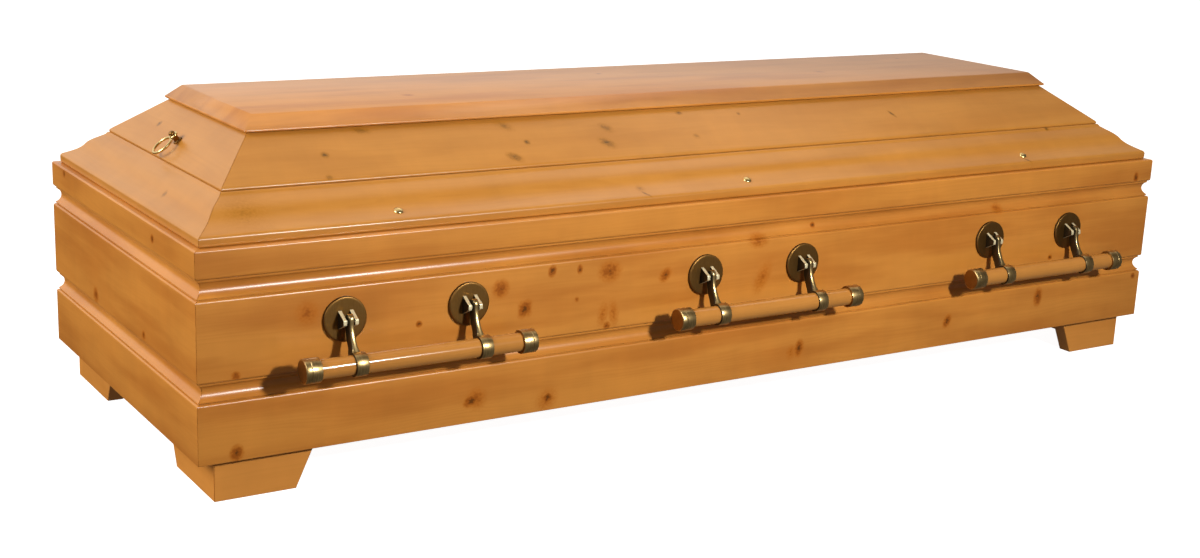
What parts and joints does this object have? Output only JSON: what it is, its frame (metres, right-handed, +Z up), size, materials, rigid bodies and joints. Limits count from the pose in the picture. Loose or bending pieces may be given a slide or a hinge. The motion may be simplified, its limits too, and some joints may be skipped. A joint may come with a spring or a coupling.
{
  "type": "wooden coffin",
  "caption": "Chest-shaped wooden coffin on bracket feet, with moulded sides, a hipped lift-off lid, swing-bar handles and a ring on the lid's end.",
  "frame": {"origin": "on the floor, under the middle of the box", "axes": "+X along the length, with the lid ring at the -X end; -Y to the front long side; +Z up"},
  "size_m": [2, 0.861, 0.546],
  "materials": {
    "box_wood": "honey-stained spruce under satin lacquer",
    "foot_wood": "honey-stained spruce under satin lacquer",
    "lid_wood": "honey-stained spruce under satin lacquer",
    "bar_wood": "turned, stained and lacquered wood",
    "brass": "antique brass, dark in the hollows and rubbed bright on the edges"
  },
  "bodies": {
    "root": {"box_front_panel": "box_wood", "box_back_panel": "box_wood", "box_left_panel": "box_wood", "box_right_panel": "box_wood", "box_floor_board": "box_wood", "foot_front_left_side_board": "foot_wood", "foot_front_left_end_board": "foot_wood", "foot_front_right_side_board": "foot_wood", "foot_front_right_end_board": "foot_wood", "foot_back_left_side_board": "foot_wood", "foot_back_left_end_board": "foot_wood", "foot_back_right_side_board": "foot_wood", "foot_back_right_end_board": "foot_wood", "lid_front_lower_board": "lid_wood", "lid_front_upper_board": "lid_wood", "lid_back_lower_board": "lid_wood", "lid_back_upper_board": "lid_wood", "lid_left_lower_board": "lid_wood", "lid_left_upper_board": "lid_wood", "lid_right_lower_board": "lid_wood", "lid_right_upper_board": "lid_wood", "lid_top_board": "lid_wood", "lid_screw_front_left": "brass", "lid_screw_front_middle": "brass", "lid_screw_front_right": "brass", "lid_screw_back_left": "brass", "lid_screw_back_middle": "brass", "lid_screw_back_right": "brass", "handle_front_left_rosette_left": "brass", "handle_front_left_rosette_right": "brass", "handle_front_middle_rosette_left": "brass", "handle_front_middle_rosette_right": "brass", "handle_front_right_rosette_left": "brass", "handle_front_right_rosette_right": "brass", "handle_back_left_rosette_left": "brass", "handle_back_left_rosette_right": "brass", "handle_back_middle_rosette_left": "brass", "handle_back_middle_rosette_right": "brass", "handle_back_right_rosette_left": "brass", "handle_back_right_rosette_right": "brass", "lid_ring_post": "brass"},
    "handle_front_left": {"handle_front_left_arm_left": "brass", "handle_front_left_arm_right": "brass", "handle_front_left_bar": "bar_wood"},
    "handle_front_middle": {"handle_front_middle_arm_left": "brass", "handle_front_middle_arm_right": "brass", "handle_front_middle_bar": "bar_wood"},
    "handle_front_right": {"handle_front_right_arm_left": "brass", "handle_front_right_arm_right": "brass", "handle_front_right_bar": "bar_wood"},
    "handle_back_left": {"handle_back_left_arm_left": "brass", "handle_back_left_arm_right": "brass", "handle_back_left_bar": "bar_wood"},
    "handle_back_middle": {"handle_back_middle_arm_left": "brass", "handle_back_middle_arm_right": "brass", "handle_back_middle_bar": "bar_wood"},
    "handle_back_right": {"handle_back_right_arm_left": "brass", "handle_back_right_arm_right": "brass", "handle_back_right_bar": "bar_wood"},
    "lid_ring": {"lid_ring": "brass"}
  },
  "joints": [
    {"name": "handle_front_left_swing", "type": "hinge", "parent": "root", "child": "handle_front_left", "pos_m": [-0.665, -0.38, 0.2653], "axis": [-1, 0, 0], "range_deg": [0, 85]},
    {"name": "handle_front_middle_swing", "type": "hinge", "parent": "root", "child": "handle_front_middle", "pos_m": [0, -0.38, 0.2653], "axis": [-1, 0, 0], "range_deg": [0, 85]},
    {"name": "handle_front_right_swing", "type": "hinge", "parent": "root", "child": "handle_front_right", "pos_m": [0.665, -0.38, 0.2653], "axis": [-1, 0, 0], "range_deg": [0, 85]},
    {"name": "handle_back_left_swing", "type": "hinge", "parent": "root", "child": "handle_back_left", "pos_m": [-0.665, 0.38, 0.2653], "axis": [1, 0, 0], "range_deg": [0, 85]},
    {"name": "handle_back_middle_swing", "type": "hinge", "parent": "root", "child": "handle_back_middle", "pos_m": [0, 0.38, 0.2653], "axis": [1, 0, 0], "range_deg": [0, 85]},
    {"name": "handle_back_right_swing", "type": "hinge", "parent": "root", "child": "handle_back_right", "pos_m": [0.665, 0.38, 0.2653], "axis": [1, 0, 0], "range_deg": [0, 85]},
    {"name": "lid_ring_turn", "type": "hinge", "parent": "root", "child": "lid_ring", "pos_m": [-0.8966, 0, 0.481], "axis": [-0.6374, 0, 0.7705], "continuous": true}
  ]
}
